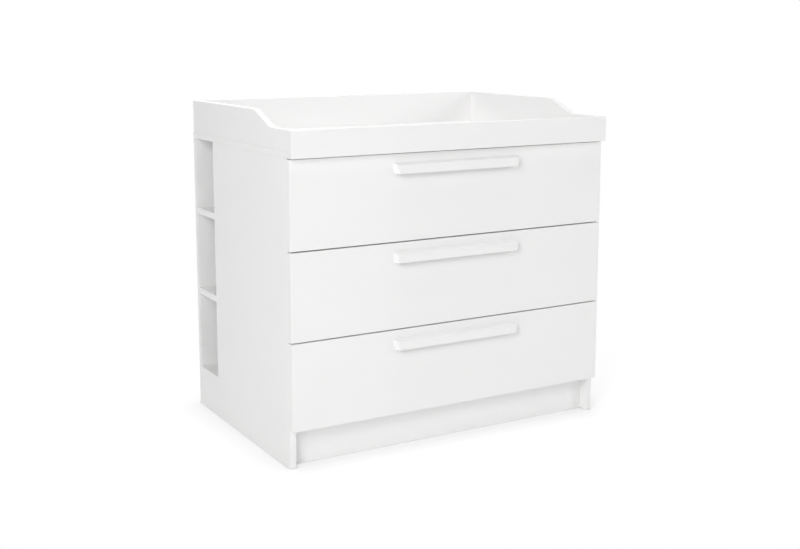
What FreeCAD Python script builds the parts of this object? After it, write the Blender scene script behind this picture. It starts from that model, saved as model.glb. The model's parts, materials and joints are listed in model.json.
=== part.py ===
import FreeCAD, Part
import math
import os

# A changing dresser: three full-width drawers on telescopic runners, open niches
# in both ends behind the drawers, and a raised changing tray on the top panel.
# Millimetres. The origin is the centre of the footprint at floor level,
# +X is the right end seen from the front, -Y is the drawer side and +Z is up.

V = FreeCAD.Vector

# ------------------------------------------------------------------ overall
body_width = 1000.0        # over the outer faces of the side panels
base_height = 103.0        # floor to the lower edge of the lowest drawer front
front_height = 235.0       # one drawer front
reveal = 3.5               # gap above each drawer front
drawer_names = ("bottom", "middle", "top")

# ------------------------------------------------------------------- boards
board = 18.0               # carcass and tray boards
top_board = 16.0           # top panel
edge_radius = 1.0          # eased edge of the boards that are handled
standoff = 0.5             # drawer front to the front edge of the side panel
plinth_setback = 28.5      # plinth behind the front edge of the side panel
floor_rise = 15.0          # bay floor above the lower edge of the lowest front
rail_depth = 80.0          # stretcher under the front of the top panel

# ------------------------------------------------------------------- niches
niche_width = 137.0        # partition to rear panel
niche_height = 228.0       # clear height of each niche under a shelf
shelf_names = ("lower", "upper")

# --------------------------------------------------------------------- tray
top_overhang = 1.0         # top panel past each side panel
tray_front_overhang = 1.5  # tray front board past each side panel
tray_side_inset = 1.5      # tray side board inside the side panel's outer face
tray_low = 55.0            # tray front above the top panel
tray_high = 96.0           # tray sides and back above the top panel
slope_start = 122.0        # drawer faces to the foot of the side boards' slope
slope_run = 100.0          # length of the slope, front to back
slope_radius = 22.0        # rounding of both ends of the slope

# ------------------------------------------------------------------ drawers
box_wall = 12.0            # drawer box sides and back
box_height = 170.0         # drawer box sides and back
box_lift = 25.0            # box above the lower edge of its front
bottom_sheet = 4.0         # drawer bottom
bottom_lift = 10.0         # drawer bottom above the lower edge of the box
groove = 6.0               # depth of the groove that holds the bottom
fit = 0.2                  # play round a bottom in its groove

# ------------------------------------------------------------------ handles
handle_length = 402.0      # against the drawer front
handle_height = 29.5       # against the drawer front
handle_drop = 23.0         # top of the handle below the top of its front
handle_reach = 20.0        # how far it stands out
handle_taper = 5.0         # each end draws in by this towards the front
handle_lean = 5.0          # each end also draws in by this towards the bottom
handle_slope = 5.0         # top surface falls by this towards the front
handle_round = 2.0         # rounding of its outer edges
handle_wall = 3.0          # top and front wall
handle_end = 7.0           # solid end
handle_centres = 320.0     # distance between the two fixing screws
boss_radius = 4.5          # screw boss inside the handle

# ------------------------------------------------------------------ runners
runner_width = 12.7        # room for a runner on each side of a drawer box
runner_length = 450.0
runner_inset = 3.0         # runner behind the front edge of the side panel
runner_end_gap = 33.5      # runner's back end to the partition
runner_sheet = 1.2         # rolled steel
runner_bend = 1.8          # outer radius of its bends
runner_play = 0.4          # between one member of a runner and the next
rail_clear = 3.2           # rail's flanges to the drawer box
link_height = 35.2         # member between the rail and the slide
ball_track = 4.0           # room for balls between the flanges of two members
cage_play = 0.3            # between a ball cage and the members on each side of it
cage_web = 1.6             # thickness of a cage's web
cage_end = 12.5            # cage's end to the ends of its members when the drawer is open

# ---------------------------------------------------------------- fasteners
dowel_radius = 4.0
dowel_length = 30.0
dowel_skin = 4.0           # board left behind a dowel that ends in its face
dowel_inset = 60.0         # dowel to the end of its joint
cam_radius = 7.5
cam_distance = 34.0        # cam's centre to the end of its board
cam_skin = 2.5             # board left behind a cam
cam_inset = 110.0          # cam to the end of its joint
cam_bolt_radius = 3.0
cam_bolt_grip = 11.0       # bolt's length in the board that it draws up
screw_radius = 2.0
screw_head_radius = 4.0
screw_head_height = 1.6
handle_screw_grip = 10.0   # screw's length in the handle's boss
corner_screw_grip = 20.0   # screw's length in the end of a drawer's back
corner_screw_inset = 35.0  # from the upper and lower edges of the drawer box
tray_screw_grip = 30.0     # screw's length in a tray board
screw_clearance = 0.1      # round every fastener in its hole
fastener_sides = 8         # flats that stand for the round of a screw or a dowel
cam_sides = 12             # flats that stand for the round of a cam
wall_hole_radius = 2.75    # holes for the screws that hold the dresser to a wall
wall_hole_spacing = 800.0
wall_hole_drop = 60.0      # below the top panel

# ------------------------------------------------------- planes worked out
half_width = body_width / 2
bay_half = half_width - board
body_depth = (board + standoff + runner_inset + runner_length + runner_end_gap
              + board + niche_width + board)
front_projection = max(handle_reach, board)
y_face = (front_projection - body_depth) / 2
y_carcass = y_face + board + standoff
y_plinth = y_carcass + plinth_setback
y_back = y_face + body_depth
y_rear = y_back - board
y_niche = y_rear - niche_width
y_partition = y_niche - board
z_floor = base_height + floor_rise
z_top = base_height + len(drawer_names) * (front_height + reveal)
z_tray = z_top + top_board
box_half = bay_half - runner_width
y_box = y_face + board
y_box_end = y_box + runner_length
y_runner = y_carcass + runner_inset

# --------------------------------------------- runner sections worked out
cage_offset = runner_sheet + cage_play
cage_flange = ball_track - 2 * cage_play
cage_length = runner_length / 2 - 2 * cage_end
rail_height = link_height + 2 * (ball_track + runner_sheet)
rail_reach = runner_width - rail_clear
rail_lip = ball_track + runner_sheet - runner_play
link_start = cage_offset + cage_web + cage_play
link_reach = runner_width - runner_sheet - runner_play - link_start
slide_height = link_height - 2 * (ball_track + runner_sheet)
slide_reach = runner_width - link_start - cage_offset - cage_web - cage_play


# ----------------------------------------------------------------- helpers
def slab(x0, x1, y0, y1, z0, z1):
    """A board between three pairs of planes."""
    return Part.makeBox(x1 - x0, y1 - y0, z1 - z0, V(x0, y0, z0))


def rounded_wire(points, radii):
    """A closed outline through the points, with an arc where a radius isn't zero."""
    corners = []
    for i, here in enumerate(points):
        if radii[i] == 0:
            corners.append((here, None, here))
            continue
        before = (points[i - 1] - here).normalize()
        after = (points[(i + 1) % len(points)] - here).normalize()
        half = before.getAngle(after) / 2
        reach = radii[i] / math.tan(half)
        depth = radii[i] / math.sin(half) - radii[i]
        middle = here + (before + after).normalize() * depth
        corners.append((here + before * reach, middle, here + after * reach))
    edges = []
    for i, (start, middle, end) in enumerate(corners):
        if middle is not None:
            edges.append(Part.Arc(start, middle, end).toShape())
        following = corners[(i + 1) % len(corners)][0]
        edges.append(Part.LineSegment(end, following).toShape())
    return Part.Wire(edges)


def closed(points):
    """A closed outline with sharp corners."""
    return Part.makePolygon(points + points[:1])


def eased(shape, accepts):
    """Rounds each edge whose ends the test accepts."""
    edges = [e for e in shape.Edges if all(accepts(v.Point) for v in e.Vertexes)]
    return shape.makeFillet(edge_radius, edges)


def drilled(shape, holes):
    """The shape without the holes that reach into it."""
    near = [hole for hole in holes if shape.BoundBox.intersect(hole.BoundBox)]
    return shape.cut(near) if near else shape


def pin(start_radius, end_radius, length, at, along, sides=fastener_sides):
    """A prism between two radii, for a small fastener, its sunk head or its hole."""
    across = V(0, 0, 1) if along.z == 0 else V(1, 0, 0)
    other = along.cross(across)
    turns = [2 * math.pi * k / sides for k in range(sides)]
    rings = []
    for radius, centre in ((start_radius, at), (end_radius, at + along * length)):
        rings.append(closed([centre + across * (radius * math.cos(turn))
                             + other * (radius * math.sin(turn)) for turn in turns]))
    return Part.makeLoft(rings, True, True)


def rod(radius, length, at, along):
    return pin(radius, radius, length, at, along)


def dowel(at, along, thickness):
    """A dowel and its hole. at is the joint, and along points into the board whose face
    is joined, of that thickness. The rest of the dowel lies in the other board's end."""
    start = at - along * (dowel_length - thickness + dowel_skin)
    hole_start = start - along * screw_clearance
    hole_length = dowel_length + 2 * screw_clearance
    return (rod(dowel_radius, dowel_length, start, along),
            rod(dowel_radius + screw_clearance, hole_length, hole_start, along))


def screw(at, along, length, sunk):
    """A screw and its hole. Its head rests on, or is sunk into, the surface at its point."""
    shank = rod(screw_radius, length, at, along)
    hole = rod(screw_radius + screw_clearance, length + screw_clearance, at, along)
    if sunk:
        sink = screw_head_radius - screw_radius
        head = pin(screw_head_radius, screw_radius, sink, at, along)
        seat = pin(screw_head_radius + screw_clearance, screw_radius + screw_clearance,
                   sink, at, along)
        return shank.fuse(head), hole.fuse(seat)
    head = rod(screw_head_radius, screw_head_height, at - along * screw_head_height, along)
    return shank.fuse(head).removeSplitter(), hole


def cam(at, inward, joint, thickness):
    """A cam lock let into a board, the bolt that it draws, and the holes for both.

    at is the cam's centre on the board's face, inward points into the board, and
    joint is the point on the bolt's axis where the two boards meet.
    """
    depth = thickness - cam_skin
    disc = pin(cam_radius, cam_radius, depth, at, inward, cam_sides)
    pocket_radius = cam_radius + screw_clearance
    pocket = pin(pocket_radius, pocket_radius, depth + screw_clearance, at, inward, cam_sides)
    along = at + inward * (thickness / 2) - joint
    to_cam = cam_bolt_grip + along.Length
    along.normalize()
    start = joint - along * cam_bolt_grip
    bolt = rod(cam_bolt_radius, to_cam - pocket_radius, start, along)
    hole = rod(cam_bolt_radius + screw_clearance, to_cam + screw_clearance,
               start - along * screw_clearance, along)
    return disc, bolt, [pocket, hole]


# ----------------------------------------------------------------- carcass
def side_panel(side):
    """Full height beside the drawers, and a low leg that runs on under the niches."""
    x = side * half_width
    outline = [V(x, y_carcass, 0), V(x, y_rear, 0), V(x, y_rear, z_floor),
               V(x, y_partition, z_floor), V(x, y_partition, z_top), V(x, y_carcass, z_top)]
    return Part.Face(closed(outline)).extrude(V(-side * board, 0, 0))


def rear_panel():
    panel = slab(-half_width, half_width, y_rear, y_back, 0, z_top)
    holes = [Part.makeCylinder(wall_hole_radius, board,
                               V(x, y_rear, z_top - wall_hole_drop), V(0, 1, 0))
             for x in (-wall_hole_spacing / 2, wall_hole_spacing / 2)]
    return panel.cut(holes)


def shelf_base(level):
    """Underside of a niche shelf, counted from the lowest."""
    return z_floor + niche_height + level * (niche_height + board)


def niche_shelf(side, level):
    x_low, x_high = sorted((side * half_width, side * board / 2))
    z = shelf_base(level)
    return slab(x_low, x_high, y_niche, y_rear, z, z + board)


def carcass():
    nodes = {
        "side_panel_left": side_panel(-1),
        "side_panel_right": side_panel(1),
        "bottom_panel": slab(-bay_half, bay_half, y_carcass, y_rear, z_floor - board, z_floor),
        "plinth_front": slab(-bay_half, bay_half, y_plinth, y_plinth + board, 0, z_floor - board),
        "base_brace": slab(-board / 2, board / 2, y_plinth + board, y_rear, 0, z_floor - board),
        "top_rail": slab(-bay_half, bay_half, y_carcass, y_carcass + rail_depth,
                         z_top - board, z_top),
        "partition_panel": slab(-half_width, half_width, y_partition, y_niche, z_floor, z_top),
        "rear_panel": rear_panel(),
        "niche_divider": slab(-board / 2, board / 2, y_niche, y_rear, z_floor, z_top),
    }
    for level, name in enumerate(shelf_names):
        nodes[f"niche_shelf_{name}_left"] = niche_shelf(-1, level)
        nodes[f"niche_shelf_{name}_right"] = niche_shelf(1, level)
    return nodes


# -------------------------------------------------------------------- tray
def tray_side(side):
    """A side board that is low at the front and rises in a rounded slope."""
    x = side * (half_width - tray_side_inset)
    z_low = z_tray + tray_low
    z_high = z_tray + tray_high
    y_slope = y_face + slope_start
    outline = [V(x, y_face, z_tray), V(x, y_back, z_tray), V(x, y_back, z_high),
               V(x, y_slope + slope_run, z_high), V(x, y_slope, z_low), V(x, y_face, z_low)]
    radii = [0, 0, 0, slope_radius, slope_radius, 0]
    panel = Part.Face(rounded_wire(outline, radii)).extrude(V(-side * board, 0, 0))
    return eased(panel, lambda p: p.z > z_tray + edge_radius and p.y > y_face + edge_radius)


def tray():
    x_front = half_width + tray_front_overhang
    x_top = half_width + top_overhang
    x_back = half_width - tray_side_inset - board
    front = slab(-x_front, x_front, y_face - board, y_face, z_top, z_tray + tray_low)
    back = slab(-x_back, x_back, y_back - board, y_back, z_tray, z_tray + tray_high)
    return {
        "top_panel": slab(-x_top, x_top, y_face, y_back, z_top, z_tray),
        "tray_side_left": tray_side(-1),
        "tray_side_right": tray_side(1),
        "tray_front": eased(front, lambda p: p.y < y_face - board + edge_radius or p.z > z_tray),
        "tray_back": eased(back, lambda p: p.z > z_tray + edge_radius),
    }


# ------------------------------------------------------------------ handle
def handle_outside(y, share):
    """Outer outline on one plane: share runs from 0 at the drawer to 1 in front."""
    half_top = handle_length / 2 - handle_taper * share
    half_low = half_top - handle_lean
    top = handle_height - handle_slope * share
    return closed([V(-half_low, y, 0), V(half_low, y, 0), V(half_top, y, top), V(-half_top, y, top)])


def handle_inside(y, share):
    """Outline of the hollow on one plane. It runs out through the underside."""
    half = handle_length / 2 - handle_taper * share - handle_lean - handle_end
    top = handle_height - handle_slope * share - handle_wall
    low = -handle_wall
    return closed([V(-half, y, low), V(half, y, low), V(half, y, top), V(-half, y, top)])


def handle(z_low):
    """A moulded grip, hollow and open below, with a boss for each screw."""
    y_front = y_face - handle_reach
    y_wall = y_front + handle_wall
    wall_share = 1 - handle_wall / handle_reach
    outside = Part.makeLoft([handle_outside(y_face, 0), handle_outside(y_front, 1)], True, True)
    inside = Part.makeLoft([handle_inside(y_face, 0), handle_inside(y_wall, wall_share)], True, True)
    edges = [e for e in outside.Edges if e.BoundBox.YMin < y_face - handle_round]
    body = outside.makeFillet(handle_round, edges).cut(inside)
    for x in (-handle_centres / 2, handle_centres / 2):
        boss = rod(boss_radius, handle_reach - handle_wall / 2,
                   V(x, y_face, handle_height / 2), V(0, -1, 0))
        body = body.fuse(boss)
    body = body.removeSplitter()
    body.translate(V(0, 0, z_low))
    return body


# ------------------------------------------------------------------ drawer
def drawer(name, z_front):
    """One drawer: its front, box, bottom, handle and slides, and what holds them."""
    z_box = z_front + box_lift
    z_box_top = z_box + box_height
    z_sheet = z_box + bottom_lift
    inside = box_half - box_wall
    handle_low = z_front + front_height - handle_drop - handle_height
    sheet_half = inside + groove
    y_sheet = y_box_end - box_wall + groove
    sheet = slab(-sheet_half + fit, sheet_half - fit, y_box - groove + fit, y_sheet - fit,
                 z_sheet, z_sheet + bottom_sheet)
    channel = slab(-sheet_half, sheet_half, y_box - groove, y_sheet,
                   z_sheet - fit, z_sheet + bottom_sheet + fit)
    fasteners, holes = drawer_fasteners(z_box, handle_low + handle_height / 2)
    front = slab(-half_width, half_width, y_face, y_box, z_front, z_front + front_height)
    boards = {
        "front": eased(front, lambda p: p.y < y_face + edge_radius),
        "side_left": slab(-box_half, -inside, y_box, y_box_end, z_box, z_box_top),
        "side_right": slab(inside, box_half, y_box, y_box_end, z_box, z_box_top),
        "back": slab(-inside, inside, y_box_end - box_wall, y_box_end, z_box, z_box_top),
    }
    nodes = {f"drawer_{name}_{part}": drilled(shape.cut(channel), holes)
             for part, shape in boards.items()}
    nodes[f"drawer_{name}_bottom"] = sheet
    nodes[f"drawer_{name}_handle"] = drilled(handle(handle_low), holes)
    nodes[f"drawer_{name}_fasteners"] = fasteners
    nodes[f"drawer_{name}_slides"] = runner_pair(slide, z_box + box_height / 2)
    return nodes


def drawer_fasteners(z_box, z_handle):
    """Handle screws, a cam at each front corner and two screws at each back corner."""
    solids = []
    holes = []
    fixings = [screw(V(x, y_box, z_handle), V(0, -1, 0), board + handle_screw_grip, False)
               for x in (-handle_centres / 2, handle_centres / 2)]
    for side in (-1, 1):
        inner_face = side * (box_half - box_wall)
        z_middle = z_box + box_height / 2
        disc, bolt, cuts = cam(V(inner_face, y_box + cam_distance, z_middle), V(side, 0, 0),
                               V(inner_face + side * box_wall / 2, y_box, z_middle), box_wall)
        solids += [disc, bolt]
        holes += cuts
        for z in (z_box + corner_screw_inset, z_box + box_height - corner_screw_inset):
            corner = V(side * box_half, y_box_end - box_wall / 2, z)
            fixings.append(screw(corner, V(-side, 0, 0), box_wall + corner_screw_grip, True))
    for solid, hole in fixings:
        solids.append(solid)
        holes.append(hole)
    return Part.makeCompound(solids), holes


# ----------------------------------------------------------------- runners
def channel_outline(depth, height, lip):
    """Corners and bend radii of a rolled C section that opens towards +X."""
    low = -height / 2
    inner = low + runner_sheet
    rows = [(0, low), (depth, low)]
    if lip > 0:
        rows += [(depth, low + lip), (depth - runner_sheet, low + lip),
                 (depth - runner_sheet, inner)]
    else:
        rows += [(depth, inner)]
    rows += [(runner_sheet, inner)]
    bends = [runner_bend] + [0] * (len(rows) - 1)
    return rows + [(x, -z) for x, z in reversed(rows)], bends + bends[::-1]


def runner_member(side, start, depth, height, lip, turn):
    """One rolled member. Its web is at start from the side panel, and turn is 1 where
    it opens towards the drawer and -1 where it opens towards the side panel."""
    rows, bends = channel_outline(depth, height, lip)
    points = [V(side * (bay_half - start - turn * x), y_runner, z) for x, z in rows]
    return Part.Face(rounded_wire(points, bends)).extrude(V(0, runner_length, 0))


def rail(side):
    return runner_member(side, 0, rail_reach, rail_height, rail_lip, 1)


def link(side):
    return runner_member(side, link_start, link_reach, link_height, 0, 1)


def slide(side):
    return runner_member(side, runner_width, slide_reach, slide_height, 0, -1)


def cage(side, start, depth, height):
    """A ball cage between two members: a web, with a thick flange for each row of balls."""
    low = -height / 2
    rows = [(0, low), (depth, low), (depth, low + cage_flange), (cage_web, low + cage_flange)]
    rows += [(x, -z) for x, z in reversed(rows)]
    y = y_runner + (runner_length - cage_length) / 2
    points = [V(side * (bay_half - start - x), y, z) for x, z in rows]
    return Part.Face(closed(points)).extrude(V(0, cage_length, 0))


def outer_cage(side):
    return cage(side, cage_offset, rail_reach - 2 * cage_offset, rail_height - 2 * cage_offset)


def inner_cage(side):
    return cage(side, link_start + cage_offset, link_reach - cage_offset - cage_play,
                link_height - 2 * cage_offset)


def runner_pair(piece, z):
    """One piece of the left and right runners, for the drawer whose runners are at height z."""
    pair = [piece(side) for side in (-1, 1)]
    for solid in pair:
        solid.translate(V(0, 0, z))
    return Part.makeCompound(pair)


# --------------------------------------------------------------- fasteners
def carcass_dowels():
    """Dowels across the joints of the carcass and under the tray front."""
    up = V(0, 0, 1)
    back = V(0, 1, 0)
    joints = [(V(0, (y_niche + y_rear) / 2, z_top), up, top_board)]
    for side in (-1, 1):
        x_edge = side * (half_width - board / 2)
        for y in (y_carcass + dowel_inset, y_rear - dowel_inset):
            joints.append((V(side * bay_half, y, z_floor - board / 2), V(side, 0, 0), board))
        for z in (z_floor + dowel_inset, z_top - dowel_inset):
            joints.append((V(x_edge, y_partition, z), back, board))
        for y in (y_carcass + dowel_inset, y_partition - dowel_inset):
            joints.append((V(x_edge, y, z_top), up, top_board))
        for level in range(len(shelf_names)):
            for x in (board / 2 + dowel_inset, half_width - dowel_inset):
                joints.append((V(side * x, y_rear, shelf_base(level) + board / 2), back, board))
        x_tray = side * (half_width - dowel_inset)
        joints.append((V(x_tray, y_face, (z_top + z_tray) / 2), -back, board))
    pairs = [dowel(at, along, thickness) for at, along, thickness in joints]
    return Part.makeCompound([solid for solid, hole in pairs]), [hole for solid, hole in pairs]


def carcass_cams():
    """Cam locks that draw the bottom panel and the top rail to the side panels."""
    discs = []
    bolts = []
    holes = []
    rows = [(y_carcass + cam_inset, z_floor - board), (y_partition - cam_inset, z_floor - board),
            (y_carcass + rail_depth / 2, z_top - board)]
    for side in (-1, 1):
        for y, z in rows:
            disc, bolt, cuts = cam(V(side * (bay_half - cam_distance), y, z), V(0, 0, 1),
                                   V(side * bay_half, y, z + board / 2), board)
            discs.append(disc)
            bolts.append(bolt)
            holes += cuts
    return Part.makeCompound(discs), Part.makeCompound(bolts), holes


def tray_screws():
    """Screws up through the top panel into the side and back boards of the tray."""
    x_side = half_width - tray_side_inset - board / 2
    points = []
    for side in (-1, 1):
        points.append(V(side * x_side, (y_niche + y_rear) / 2, z_top))
        points.append(V(side * half_width / 2, y_back - board / 2, z_top))
    pairs = [screw(at, V(0, 0, 1), top_board + tray_screw_grip, True) for at in points]
    return Part.makeCompound([solid for solid, hole in pairs]), [hole for solid, hole in pairs]


# ---------------------------------------------------------------- assembly
def front_level(i):
    """Lower edge of a drawer front, counted from the lowest."""
    return base_height + i * (front_height + reveal)


def assembly():
    dowels, dowel_holes = carcass_dowels()
    cam_locks, cam_bolts, cam_holes = carcass_cams()
    screws, screw_holes = tray_screws()
    holes = dowel_holes + cam_holes + screw_holes
    boards = carcass()
    boards.update(tray())
    nodes = {name: drilled(shape, holes) for name, shape in boards.items()}
    nodes["dowels"] = dowels
    nodes["cam_locks"] = cam_locks
    nodes["cam_bolts"] = cam_bolts
    nodes["tray_screws"] = screws
    for i, name in enumerate(drawer_names):
        runner_level = front_level(i) + box_lift + box_height / 2
        nodes[f"runner_rails_{name}"] = runner_pair(rail, runner_level)
        nodes[f"runner_outer_cages_{name}"] = runner_pair(outer_cage, runner_level)
        nodes[f"runner_links_{name}"] = runner_pair(link, runner_level)
        nodes[f"runner_inner_cages_{name}"] = runner_pair(inner_cage, runner_level)
        nodes.update(drawer(name, front_level(i)))
    return nodes


os.makedirs("parts", exist_ok=True)
for node, shape in assembly().items():
    shape.exportStep(f"parts/{node}.step")
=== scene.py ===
import json
import math

import bmesh
import bpy
from mathutils import Matrix, Vector


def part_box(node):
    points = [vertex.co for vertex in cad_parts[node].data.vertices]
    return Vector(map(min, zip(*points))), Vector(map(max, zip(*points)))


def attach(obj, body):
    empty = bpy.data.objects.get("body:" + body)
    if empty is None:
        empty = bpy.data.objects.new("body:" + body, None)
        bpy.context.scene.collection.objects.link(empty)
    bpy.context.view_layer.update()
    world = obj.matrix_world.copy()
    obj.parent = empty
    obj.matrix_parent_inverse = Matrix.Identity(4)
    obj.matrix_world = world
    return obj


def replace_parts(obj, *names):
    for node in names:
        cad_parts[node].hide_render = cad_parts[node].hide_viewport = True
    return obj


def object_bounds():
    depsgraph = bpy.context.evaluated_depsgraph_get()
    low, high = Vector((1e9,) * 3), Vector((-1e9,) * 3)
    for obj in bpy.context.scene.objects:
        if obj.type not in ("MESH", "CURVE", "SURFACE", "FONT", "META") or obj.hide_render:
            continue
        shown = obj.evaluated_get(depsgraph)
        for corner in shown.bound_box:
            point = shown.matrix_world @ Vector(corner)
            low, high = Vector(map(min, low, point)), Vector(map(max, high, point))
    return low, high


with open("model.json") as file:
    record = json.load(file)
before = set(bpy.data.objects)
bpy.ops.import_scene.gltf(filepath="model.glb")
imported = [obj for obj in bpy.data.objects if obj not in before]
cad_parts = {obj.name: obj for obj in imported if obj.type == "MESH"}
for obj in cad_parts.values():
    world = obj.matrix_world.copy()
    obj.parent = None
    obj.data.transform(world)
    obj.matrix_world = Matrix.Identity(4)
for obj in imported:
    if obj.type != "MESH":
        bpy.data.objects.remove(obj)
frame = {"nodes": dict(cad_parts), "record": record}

# The white changing dresser: finishes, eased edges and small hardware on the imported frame.
# Metres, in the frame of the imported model: +X right, -Y the drawer side, +Z up.

CAD_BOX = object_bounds()
NODES = frame["nodes"]
DRAWERS = ("bottom", "middle", "top")
MM = 0.001


# ---------------------------------------------------------------- materials
NOISE_LOW, NOISE_HIGH = 0.3, 0.7       # where nearly all of a noise lies
COATING_IOR = 1.48
PLASTIC_IOR = 1.5

# Each finish varies between two colours.
WHITE = (0.889, 0.885, 0.883), (0.903, 0.899, 0.897)
BOX_WHITE = (0.80, 0.80, 0.785), (0.82, 0.82, 0.805)
SHEET_WHITE = (0.79, 0.79, 0.77), (0.81, 0.81, 0.79)
STEEL = (0.55, 0.56, 0.57), (0.66, 0.67, 0.68)
ZINC = (0.58, 0.58, 0.57), (0.70, 0.70, 0.68)
BLACK = (0.025, 0.026, 0.028), (0.035, 0.036, 0.038)
BEECH = (0.50, 0.33, 0.18), (0.62, 0.44, 0.26)


def blank_material(name):
    """A material with nothing in it but its output, whose surface socket is given back too."""
    material = bpy.data.materials.new(name)
    material.use_nodes = True
    tree = material.node_tree
    tree.nodes.clear()
    return material, tree, tree.nodes.new("ShaderNodeOutputMaterial").inputs["Surface"]


def new_material(name):
    """A material of one shader, whose sockets the finishes below fill in."""
    material, tree, surface = blank_material(name)
    shader = tree.nodes.new("ShaderNodeBsdfPrincipled")
    tree.links.new(shader.outputs["BSDF"], surface)
    return material, tree, shader


def mapped(tree, scale=(1, 1, 1)):
    """Object coordinates, which are the frame's own, stretched along each axis."""
    place = tree.nodes.new("ShaderNodeTexCoord")
    stretch = tree.nodes.new("ShaderNodeMapping")
    stretch.inputs["Scale"].default_value = scale
    tree.links.new(place.outputs["Object"], stretch.inputs["Vector"])
    return stretch.outputs["Vector"]


def noise(tree, vector, scale, detail, roughness=0.5):
    node = tree.nodes.new("ShaderNodeTexNoise")
    node.inputs["Scale"].default_value = scale
    node.inputs["Detail"].default_value = detail
    node.inputs["Roughness"].default_value = roughness
    tree.links.new(vector, node.inputs["Vector"])
    return node.outputs["Fac"]


def blended(tree, factor, colours):
    """A colour between two, by a factor that a texture gives."""
    ramp = tree.nodes.new("ShaderNodeValToRGB")
    for stop, place, colour in zip(ramp.color_ramp.elements, (NOISE_LOW, NOISE_HIGH), colours):
        stop.position = place
        stop.color = (*colour, 1)
    tree.links.new(factor, ramp.inputs["Fac"])
    return ramp.outputs["Color"]


def ranged(tree, factor, low, high):
    """A number between two, by a factor that a texture gives."""
    node = tree.nodes.new("ShaderNodeMapRange")
    node.inputs["From Min"].default_value = NOISE_LOW
    node.inputs["From Max"].default_value = NOISE_HIGH
    node.inputs["To Min"].default_value = low
    node.inputs["To Max"].default_value = high
    tree.links.new(factor, node.inputs["Value"])
    return node.outputs["Result"]


def bumped(tree, shader, height, strength, distance):
    node = tree.nodes.new("ShaderNodeBump")
    node.inputs["Strength"].default_value = strength
    node.inputs["Distance"].default_value = distance
    tree.links.new(height, node.inputs["Height"])
    tree.links.new(node.outputs["Normal"], shader.inputs["Normal"])


def coated_board(name, colours, gloss, skin, grain=700.0):
    """A painted or faced board: faint patches of tone, uneven gloss, a fine skin."""
    material, tree, shader = new_material(name)
    vector = mapped(tree)
    tone = noise(tree, vector, scale=2.5, detail=4.0)
    tree.links.new(blended(tree, tone, colours), shader.inputs["Base Color"])
    sheen = noise(tree, vector, scale=14.0, detail=5.0, roughness=0.6)
    tree.links.new(ranged(tree, sheen, *gloss), shader.inputs["Roughness"])
    shader.inputs["IOR"].default_value = COATING_IOR
    bumped(tree, shader, noise(tree, vector, scale=grain, detail=2.0), strength=0.35, distance=skin)
    return material


def moulded(name, colours, gloss):
    """A moulded plastic: an even colour, and the fine grain of its mould."""
    material, tree, shader = new_material(name)
    vector = mapped(tree)
    tone = noise(tree, vector, scale=6.0, detail=3.0)
    tree.links.new(blended(tree, tone, colours), shader.inputs["Base Color"])
    sheen = noise(tree, vector, scale=60.0, detail=4.0, roughness=0.55)
    tree.links.new(ranged(tree, sheen, *gloss), shader.inputs["Roughness"])
    shader.inputs["IOR"].default_value = PLASTIC_IOR
    grain = noise(tree, vector, scale=1800.0, detail=1.0)
    bumped(tree, shader, grain, strength=0.25, distance=0.02 * MM)
    return material


def plated(name, colours, gloss, along):
    """A bright zinc plate, faintly drawn out by the stretch along each axis."""
    material, tree, shader = new_material(name)
    drawn = noise(tree, mapped(tree, along), scale=9.0, detail=5.0, roughness=0.65)
    tree.links.new(blended(tree, drawn, colours), shader.inputs["Base Color"])
    cloud = noise(tree, mapped(tree), scale=45.0, detail=4.0)
    tree.links.new(ranged(tree, cloud, *gloss), shader.inputs["Roughness"])
    shader.inputs["Metallic"].default_value = 1.0
    bumped(tree, shader, drawn, strength=0.2, distance=0.04 * MM)
    return material


def wooden(name, colours):
    """Bare wood, with its grain drawn out along Z."""
    material, tree, shader = new_material(name)
    rings = tree.nodes.new("ShaderNodeTexWave")
    rings.inputs["Scale"].default_value = 6.0
    rings.inputs["Distortion"].default_value = 5.0
    rings.inputs["Detail"].default_value = 3.0
    tree.links.new(mapped(tree, (40, 40, 6)), rings.inputs["Vector"])
    tree.links.new(blended(tree, rings.outputs["Fac"], colours), shader.inputs["Base Color"])
    shader.inputs["Roughness"].default_value = 0.7
    bumped(tree, shader, rings.outputs["Fac"], strength=0.3, distance=0.1 * MM)
    return material


FINISH = {
    "white_board": coated_board("white_board_finish", WHITE, (0.42, 0.52), skin=0.03 * MM),
    "box_board": coated_board("box_board_finish", BOX_WHITE, (0.46, 0.56), skin=0.05 * MM, grain=420.0),
    "bottom_sheet": coated_board("bottom_sheet_finish", SHEET_WHITE, (0.5, 0.6), skin=0.08 * MM,
                                 grain=260.0),
    "handle_plastic": moulded("handle_finish", WHITE, (0.28, 0.36)),
    "runner_steel": plated("runner_finish", STEEL, (0.26, 0.4), along=(60, 4, 60)),
    "cage_plastic": moulded("cage_finish", BLACK, (0.4, 0.5)),
    "fastener_zinc": plated("fastener_finish", ZINC, (0.3, 0.42), along=(30, 30, 30)),
    "dowel_beech": wooden("dowel_finish", BEECH),
}
SLOT_OF = {part["node"]: part["material_slot"] for part in frame["record"]["subparts"]}


def finish(thing, slot):
    """Puts a finish on every material slot of an object, or gives it one."""
    if not thing.data.materials:
        thing.data.materials.append(FINISH[slot])
    for socket in thing.material_slots:
        socket.link = "OBJECT"
        socket.material = FINISH[slot]


for node, thing in NODES.items():
    finish(thing, SLOT_OF[node])


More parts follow.
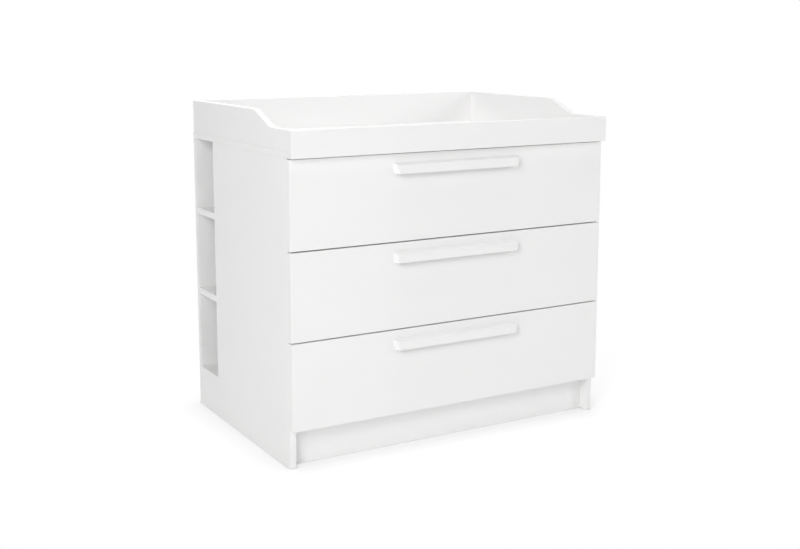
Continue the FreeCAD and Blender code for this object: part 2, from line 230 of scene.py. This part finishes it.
# -------------------------------------------------------------- eased edges
SAME_POINT = 0.01 * MM
SHARP_EDGE = math.radians(50)
NICHE_SHELVES = [f"niche_shelf_{row}_{end}" for row in ("lower", "upper") for end in ("left", "right")]
INNER_BOARDS = ["partition_panel", "bottom_panel", "niche_divider", "top_rail", "base_brace"]
BOX_BOARDS = [f"drawer_{name}_{part}" for name in DRAWERS
              for part in ("side_left", "side_right", "back")]
EASED = {
    1.2 * MM: ["top_panel"],
    0.7 * MM: ["side_panel_left", "side_panel_right", "plinth_front"],
    0.6 * MM: NICHE_SHELVES,
    0.5 * MM: INNER_BOARDS + BOX_BOARDS,
}


def ease(thing, width):
    """Takes the sharp edge off a board. The weld only joins the corners' copies."""
    weld = thing.modifiers.new("weld", "WELD")
    weld.merge_threshold = SAME_POINT
    bevel = thing.modifiers.new("eased edge", "BEVEL")
    bevel.width = width
    bevel.segments = 2
    bevel.limit_method = "ANGLE"
    bevel.angle_limit = SHARP_EDGE
    bevel.harden_normals = True
    bevel.use_clamp_overlap = True


for width, boards in EASED.items():
    for node in boards:
        ease(NODES[node], width)


# ---------------------------------------------------- turned and other shapes
# The turns at which a turned shape has its points: closest near the arms of a cross recess.
QUARTER = (0.0, 13.0, 29.0, 45.0, 61.0, 77.0)
TURNS = [math.radians(90 * quarter + step) for quarter in range(4) for step in QUARTER]
RINGS_PER_PITCH = 3


def even(radius):
    return [radius] * len(TURNS)


def cross(reach, half):
    """Radii of a cross whose arms reach that far from the centre, and are twice half wide."""
    radii = []
    for turn in TURNS:
        c, s = max(abs(math.cos(turn)), 1e-9), max(abs(math.sin(turn)), 1e-9)
        radii.append(max(min(reach / c, half / s), min(reach / s, half / c)))
    return radii


def thread(start, end, core, depth, pitch):
    """Rings of a screw thread between two heights, which fades in and out at its ends."""
    count = max(2, int((end - start) / pitch * RINGS_PER_PITCH))
    rings = []
    for k in range(count + 1):
        height = start + (end - start) * k / count
        fade = min(1.0, 6 * k / count, 8 * (count - k) / count)
        wave = [0.5 + 0.5 * math.cos(2 * math.pi * height / pitch - turn) for turn in TURNS]
        rings.append(([core + depth * fade * w ** 2 for w in wave], height))
    return rings


def turned(mesh, base, along, rings):
    """A closed body round an axis. Each ring is its radii at the turns, and its height."""
    along = Vector(along).normalized()
    upright = abs(along.z) > 0.5
    across = along.orthogonal().normalized() if upright else Vector((0, 0, 1))
    other = along.cross(across)
    loops = []
    for radii, height in rings:
        centre = Vector(base) + along * height
        loops.append([mesh.verts.new(centre + (across * math.cos(t) + other * math.sin(t)) * r)
                      for t, r in zip(TURNS, radii)])
    for low, high in zip(loops, loops[1:]):
        for i in range(len(TURNS)):
            j = (i + 1) % len(TURNS)
            mesh.faces.new((low[i], low[j], high[j], high[i]))
    mesh.faces.new(loops[0][::-1])
    mesh.faces.new(loops[-1])


def middle(box, axis):
    return (box[0][axis] + box[1][axis]) / 2


def piece(name, mesh, slot, body, smooth=28):
    """Makes one shown object of what the mesh holds, on the body that it moves with. It is
    shaded smooth over edges of up to that many degrees."""
    bmesh.ops.recalc_face_normals(mesh, faces=mesh.faces)
    data = bpy.data.meshes.new(name)
    mesh.to_mesh(data)
    mesh.free()
    thing = bpy.data.objects.new(name, data)
    bpy.context.collection.objects.link(thing)
    data.shade_smooth()
    data.set_sharp_from_angle(angle=math.radians(smooth))
    finish(thing, slot)
    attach(thing, body)
    return thing


# ------------------------------------------------------ screws, cams and bolts
# The sizes are radii, apart from the bolt's grip. Each shape below is a list of rings, whose
# heights are measured along its axis from the surface of the board that it is fitted to.
SCREW_HEAD = 4.0 * MM
SCREW_SHANK = 2.0 * MM
SCREW_TIP = 0.15 * MM
CAM_RADIUS = 7.5 * MM
BOLT_RADIUS = 3.0 * MM
BOLT_GRIP = 11.0 * MM                  # bolt's length in the board that it draws up
BOLT_SHANK = 2.6 * MM
BOLT_NECK = 1.7 * MM


def screw_body(start, reach):
    """The shank, thread and tip of a screw whose thread starts there."""
    thread_end = reach - 2 * MM
    body = thread(start, thread_end, core=1.35 * MM, depth=0.65 * MM, pitch=2.0 * MM)
    return [(even(SCREW_SHANK), start - 0.6 * MM)] + body + [(even(SCREW_TIP), reach)]


def pan_head(reach):
    """A pan-head screw, from its recess to its tip. Its head rests on the surface."""
    rings = [(cross(1.3 * MM, 0.35 * MM), -0.5 * MM), (cross(2.1 * MM, 0.5 * MM), -1.58 * MM),
             (even(2.9 * MM), -1.6 * MM), (even(3.5 * MM), -1.45 * MM), (even(3.9 * MM), -1.0 * MM),
             (even(SCREW_HEAD), -0.5 * MM), (even(SCREW_HEAD), 0.0), (even(SCREW_SHANK), 0.0)]
    return rings + screw_body(1.5 * MM, reach)


def sunk_head(reach):
    """A countersunk screw, from its recess to its tip, flush with the surface."""
    rings = [(cross(1.2 * MM, 0.35 * MM), 1.3 * MM), (cross(2.3 * MM, 0.5 * MM), 0.02 * MM),
             (even(3.8 * MM), 0.02 * MM), (even(SCREW_HEAD), 0.12 * MM), (even(SCREW_SHANK), 2.0 * MM)]
    return rings + screw_body(3.5 * MM, reach)


def runner_screw(rise):
    """A short screw with a flat head, which stands out of the sheet by its rise."""
    return [(cross(1.2 * MM, 0.35 * MM), 0.4 * MM), (cross(2.1 * MM, 0.5 * MM), -rise),
            (even(2.8 * MM), -rise), (even(3.3 * MM), -rise * 0.6), (even(3.5 * MM), 0.0),
            (even(1.9 * MM), 1.1 * MM), (even(1.7 * MM), 8.5 * MM), (even(0.2 * MM), 10.0 * MM)]


def cam_face(depth):
    """A cam lock, from its recess to its back. Its rim is flush with the surface."""
    return [(cross(2.9 * MM, 0.9 * MM), 2.6 * MM), (cross(4.0 * MM, 1.2 * MM), 0.5 * MM),
            (even(5.3 * MM), 0.5 * MM), (even(5.7 * MM), 0.05 * MM), (even(7.2 * MM), 0.05 * MM),
            (even(CAM_RADIUS), 0.35 * MM), (even(CAM_RADIUS), depth - 0.4 * MM),
            (even(CAM_RADIUS - 0.4 * MM), depth)]


def cam_bolt(reach):
    """The bolt that a cam draws: threaded in one board, with a neck and head in the cam."""
    return (thread(0.0, BOLT_GRIP, core=2.3 * MM, depth=0.7 * MM, pitch=2.2 * MM)
            + [(even(BOLT_SHANK), BOLT_GRIP + 0.4 * MM), (even(BOLT_SHANK), reach - 7.0 * MM),
               (even(BOLT_NECK), reach - 6.0 * MM), (even(BOLT_NECK), reach - 3.4 * MM),
               (even(BOLT_RADIUS), reach - 2.4 * MM), (even(BOLT_RADIUS), reach - 0.6 * MM),
               (even(2.2 * MM), reach)])


# ---------------------------------------------- hardware of drawers and carcass
HANDLE_CENTRES = 320.0 * MM            # between the two screws of a grip
HANDLE_SCREW_GRIP = 10.0 * MM          # screw's length in the grip
CORNER_SCREW_INSET = 35.0 * MM         # from the upper and lower edges of the drawer box
CORNER_SCREW_GRIP = 20.0 * MM          # screw's length in the end of a drawer's back
TRAY_SCREW_GRIP = 30.0 * MM            # screw's length in a tray board
CAM_DISTANCE = 34.0 * MM               # cam's centre to the end of its board
CAM_INSET = 110.0 * MM                 # cam to the end of its joint
CAM_SKIN = 2.5 * MM                    # board left behind a cam
CAM_PLAY = 0.1 * MM                    # end of a bolt to its cam


def drawer_hardware(name):
    """Handle screws, front cams and their bolts, and the screws of the back corners."""
    mesh = bmesh.new()
    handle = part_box(f"drawer_{name}_handle")
    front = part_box(f"drawer_{name}_front")
    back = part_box(f"drawer_{name}_back")
    y_box = front[1][1]
    handle_screw = pan_head(y_box - front[0][1] + HANDLE_SCREW_GRIP)
    for x in (-HANDLE_CENTRES / 2, HANDLE_CENTRES / 2):
        turned(mesh, (x, y_box, middle(handle, 2)), (0, -1, 0), handle_screw)
    for side, part in ((-1, "side_left"), (1, "side_right")):
        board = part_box(f"drawer_{name}_{part}")
        low, high = board
        inner, outer = (high[0], low[0]) if side < 0 else (low[0], high[0])
        wall = high[0] - low[0]
        turned(mesh, (inner, y_box + CAM_DISTANCE, middle(board, 2)), (side, 0, 0),
               cam_face(wall - CAM_SKIN))
        turned(mesh, (middle(board, 0), y_box - BOLT_GRIP, middle(board, 2)), (0, 1, 0),
               cam_bolt(BOLT_GRIP + CAM_DISTANCE - CAM_RADIUS - CAM_PLAY))
        for z in (low[2] + CORNER_SCREW_INSET, high[2] - CORNER_SCREW_INSET):
            turned(mesh, (outer, middle(back, 1), z), (-side, 0, 0), sunk_head(wall + CORNER_SCREW_GRIP))
    thing = piece(f"drawer_{name}_screws_and_cams", mesh, "fastener_zinc", f"drawer_{name}")
    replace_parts(thing, f"drawer_{name}_fasteners")


def carcass_cams():
    """The cams under the bottom panel and the top rail."""
    low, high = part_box("bottom_panel")
    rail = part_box("top_rail")
    y_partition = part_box("partition_panel")[0][1]
    cam = cam_face(high[2] - low[2] - CAM_SKIN)
    mesh = bmesh.new()
    for side in (-1, 1):
        for y, z in ((low[1] + CAM_INSET, low[2]), (y_partition - CAM_INSET, low[2]),
                     (middle(rail, 1), rail[0][2])):
            turned(mesh, (side * (high[0] - CAM_DISTANCE), y, z), (0, 0, 1), cam)
    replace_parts(piece("carcass_cams", mesh, "fastener_zinc", "carcass"), "cam_locks")


def tray_screws():
    """The screws up through the top panel into the side and back boards of the tray."""
    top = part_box("top_panel")
    x_side = middle(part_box("tray_side_right"), 0)
    x_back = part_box("rear_panel")[1][0] / 2
    y_side = middle(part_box("niche_divider"), 1)
    y_back = middle(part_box("tray_back"), 1)
    screw = sunk_head(top[1][2] - top[0][2] + TRAY_SCREW_GRIP)
    mesh = bmesh.new()
    for side in (-1, 1):
        for x, y in ((x_side, y_side), (x_back, y_back)):
            turned(mesh, (side * x, y, top[0][2]), (0, 0, 1), screw)
    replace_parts(piece("tray_fixing_screws", mesh, "fastener_zinc", "carcass"), "tray_screws")


# -------------------------------------------------------- hardware of runners
RUNNER_SHEET = 1.2 * MM
# Distances of the screws from the front end of the runner, and how far their heads stand out.
RAIL_SCREWS = (37.0 * MM, 261.0 * MM, 421.0 * MM), 0.2 * MM
SLIDE_SCREWS = (35.0 * MM, 227.0 * MM, 419.0 * MM), 1.3 * MM
# Distances of a row of balls from the rail's back, and up and down from the runner's middle.
OUTER_ROWS = 5.7 * MM, 19.6 * MM
INNER_ROWS = 8.9 * MM, 14.4 * MM
BALL_RADIUS = 1.9 * MM
BALLS_IN_ROW = 9
FIRST_BALL = 12.0 * MM                 # from the end of its cage
BALL_STEP = 22.0 * MM


def runner_screws(name):
    """The screws that hold the rails to the carcass and the slides to the drawer."""
    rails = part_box(f"runner_rails_{name}")
    x_rail = rails[1][0] - RUNNER_SHEET
    x_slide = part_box(f"drawer_{name}_side_right")[1][0] + RUNNER_SHEET
    kinds = (("rail", "carcass", x_rail, 1, RAIL_SCREWS),
             ("slide", f"drawer_{name}", x_slide, -1, SLIDE_SCREWS))
    for kind, body, x, outward, (places, rise) in kinds:
        mesh = bmesh.new()
        for side in (-1, 1):
            for place in places:
                turned(mesh, (side * x, rails[0][1] + place, middle(rails, 2)), (side * outward, 0, 0),
                       runner_screw(rise))
        piece(f"runner_{kind}_screws_{name}", mesh, "fastener_zinc", body)


def runner_balls(name):
    """The balls in the cages between the rail and the link, and the link and the slide."""
    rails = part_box(f"runner_rails_{name}")
    level = middle(rails, 2)
    for kind, (x_row, z_row) in (("outer", OUTER_ROWS), ("inner", INNER_ROWS)):
        y_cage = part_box(f"runner_{kind}_cages_{name}")[0][1]
        mesh = bmesh.new()
        for side in (-1, 1):
            for z in (level - z_row, level + z_row):
                for k in range(BALLS_IN_ROW):
                    centre = (side * (rails[1][0] - x_row), y_cage + FIRST_BALL + BALL_STEP * k, z)
                    bmesh.ops.create_icosphere(mesh, subdivisions=2, radius=BALL_RADIUS,
                                               matrix=Matrix.Translation(centre))
        piece(f"runner_{kind}_balls_{name}", mesh, "runner_steel", f"{kind}_cage_{name}", smooth=60)


for name in DRAWERS:
    drawer_hardware(name)
    runner_screws(name)
    runner_balls(name)
carcass_cams()
tray_screws()


# -------------------------------------------------------- light in node trees
def put(tree, value, socket):
    """Sets a socket to a number, or links it to another socket."""
    if isinstance(value, bpy.types.NodeSocket):
        tree.links.new(value, socket)
    else:
        socket.default_value = value


def calculated(tree, operation, *values):
    node = tree.nodes.new("ShaderNodeMath")
    node.operation = operation
    for value, socket in zip(values, node.inputs):
        put(tree, value, socket)
    return node.outputs[0]


def matt(tree, tone):
    node = tree.nodes.new("ShaderNodeBsdfDiffuse")
    node.inputs["Color"].default_value = (tone, tone, tone, 1)
    return node.outputs[0]


def shining(tree, strength, kind="ShaderNodeEmission"):
    node = tree.nodes.new(kind)
    node.inputs["Color"].default_value = (1, 1, 1, 1)
    put(tree, strength, node.inputs["Strength"])
    return node.outputs[0]


def together(tree, first, second):
    node = tree.nodes.new("ShaderNodeAddShader")
    tree.links.new(first, node.inputs[0])
    tree.links.new(second, node.inputs[1])
    return node.outputs[0]


def mixed(tree, factor, first, second):
    node = tree.nodes.new("ShaderNodeMixShader")
    tree.links.new(factor, node.inputs["Fac"])
    tree.links.new(first, node.inputs[1])
    tree.links.new(second, node.inputs[2])
    return node.outputs[0]


def seen_ray(tree):
    """1 on rays from the camera, or by way of metal or glass, and 0 on those that light."""
    path = tree.nodes.new("ShaderNodeLightPath").outputs
    mirrored = calculated(tree, "MAXIMUM", path["Is Camera Ray"], path["Is Glossy Ray"])
    return calculated(tree, "MAXIMUM", mirrored, path["Is Transmission Ray"])


# -------------------------------------------------------------------- floor
FLOOR_SIZE = 60.0
FLOOR_TONE = 0.93
FLOOR_GLOW = 0.13
# What the camera sees near the object: a darker floor, lifted to white by a light of its own.
SEEN_TONE = 0.42
SEEN_LIFT = 0.69
# Reach of the two contact shadows, and how much light each takes away.
SOFT_SHADOW = 0.13, 0.26
TIGHT_SHADOW = 0.012, 0.40
OCCLUSION_SAMPLES = 12
FADE_START, FADE_END = 0.1, 0.7        # from the object's sides to where the floor is plain white


def shaded(tree, light, reach, share):
    """A strength of light, less a share of 1 by how much things within reach hide the sky."""
    node = tree.nodes.new("ShaderNodeAmbientOcclusion")
    node.samples = OCCLUSION_SAMPLES
    node.inputs["Distance"].default_value = reach
    hidden = calculated(tree, "SUBTRACT", 1.0, node.outputs["AO"])
    return calculated(tree, "MULTIPLY_ADD", hidden, -share, light)


def away_from_object(tree):
    """0 beside the object's sides, and 1 where the floor is plain white."""
    half_footprint = (CAD_BOX[1][0], CAD_BOX[1][1], 0)
    point = tree.nodes.new("ShaderNodeTexCoord").outputs["Object"]
    steps = (("ABSOLUTE", None, "Vector"), ("SUBTRACT", half_footprint, "Vector"),
             ("MAXIMUM", (0, 0, 0), "Vector"), ("LENGTH", None, "Value"))
    for operation, other, result in steps:
        node = tree.nodes.new("ShaderNodeVectorMath")
        node.operation = operation
        tree.links.new(point, node.inputs[0])
        if other is not None:
            node.inputs[1].default_value = other
        point = node.outputs[result]
    away = tree.nodes.new("ShaderNodeMapRange")
    away.interpolation_type = "SMOOTHSTEP"
    away.inputs["From Min"].default_value = FADE_START
    away.inputs["From Max"].default_value = FADE_END
    tree.links.new(point, away.inputs["Value"])
    return away.outputs["Result"]


def floor():
    """A pale floor that gives back some light of its own. Seen, it is lifted so that only
    shadows show on it, and it runs out into plain white away from the object."""
    bpy.ops.mesh.primitive_plane_add(size=FLOOR_SIZE, location=(0, 0, 0))
    plane = bpy.context.object
    plane.name = "studio_floor"
    material, tree, surface = blank_material("studio_floor")
    lighting = together(tree, matt(tree, FLOOR_TONE), shining(tree, FLOOR_GLOW))
    lift = shaded(tree, shaded(tree, SEEN_LIFT, *SOFT_SHADOW), *TIGHT_SHADOW)
    near = together(tree, matt(tree, SEEN_TONE), shining(tree, lift))
    seen = mixed(tree, away_from_object(tree), near, shining(tree, 1.0))
    tree.links.new(mixed(tree, seen_ray(tree), lighting, seen), surface)
    plane.data.materials.append(material)


# ------------------------------------------------------------------- lights
SKY = 0.17
# name, place, what it points at, width and height, watts
SOFTBOXES = (
    ("key", (-3.3, -3.0, 3.1), (0, 0, 0.5), (1.6, 1.6), 74),
    ("low_key", (-3.6, -3.2, 1.6), (0, 0, 0.5), (2.0, 2.0), 47),
    ("fill", (3.6, -3.4, 2.2), (0, 0, 0.5), (2.0, 2.0), 54),
    ("overhead", (0, 0.2, 4.4), (0, 0, 0.8), (3.0, 3.0), 85),
    ("behind", (0.9, 4.4, 1.1), (0, 0, 0.5), (2.0, 2.0), 40),
)


def sky():
    """An even light from all round, which is seen as plain white."""
    world = bpy.data.worlds.new("studio")
    bpy.context.scene.world = world
    world.use_nodes = True
    tree = world.node_tree
    tree.nodes.clear()
    output = tree.nodes.new("ShaderNodeOutputWorld")
    light = shining(tree, SKY, "ShaderNodeBackground")
    white = shining(tree, 1.0, "ShaderNodeBackground")
    tree.links.new(mixed(tree, seen_ray(tree), light, white), output.inputs["Surface"])


def aimed(name, data, place, ahead):
    """Stands a lamp or a camera in the scene, looking along a direction."""
    thing = bpy.data.objects.new(name, data)
    thing.location = place
    thing.rotation_euler = Vector(ahead).to_track_quat("-Z", "Y").to_euler()
    bpy.context.collection.objects.link(thing)
    return thing


def softbox(name, place, target, size, watts):
    lamp = bpy.data.lights.new(name, "AREA")
    lamp.shape = "RECTANGLE"
    lamp.size, lamp.size_y = size
    lamp.energy = watts
    aimed(name, lamp, place, Vector(target) - Vector(place))


# ------------------------------------------------------------------- camera
PHOTO_WIDTH = 800.0                    # pixels
FOCAL_LENGTH = 1181.1                  # pixels
SHIFT_DOWN = 60.0                      # pixels
SENSOR = 36.0                          # millimetres
CAMERA_PLACE = (-1.73045, -3.01276, 1.13547)
CAMERA_YAW = 0.52419                   # radians from +Y towards +X
CAMERA_PITCH = 0.15455                 # radians below the level


def camera():
    lens = bpy.data.cameras.new("camera")
    lens.sensor_width = SENSOR
    lens.lens = FOCAL_LENGTH / PHOTO_WIDTH * SENSOR
    lens.shift_y = -SHIFT_DOWN / PHOTO_WIDTH
    level = math.cos(CAMERA_PITCH)
    ahead = (math.sin(CAMERA_YAW) * level, math.cos(CAMERA_YAW) * level, -math.sin(CAMERA_PITCH))
    bpy.context.scene.camera = aimed("camera", lens, CAMERA_PLACE, ahead)


floor()
sky()
for lamp in SOFTBOXES:
    softbox(*lamp)
camera()
bpy.context.scene.view_settings.view_transform = "Standard"
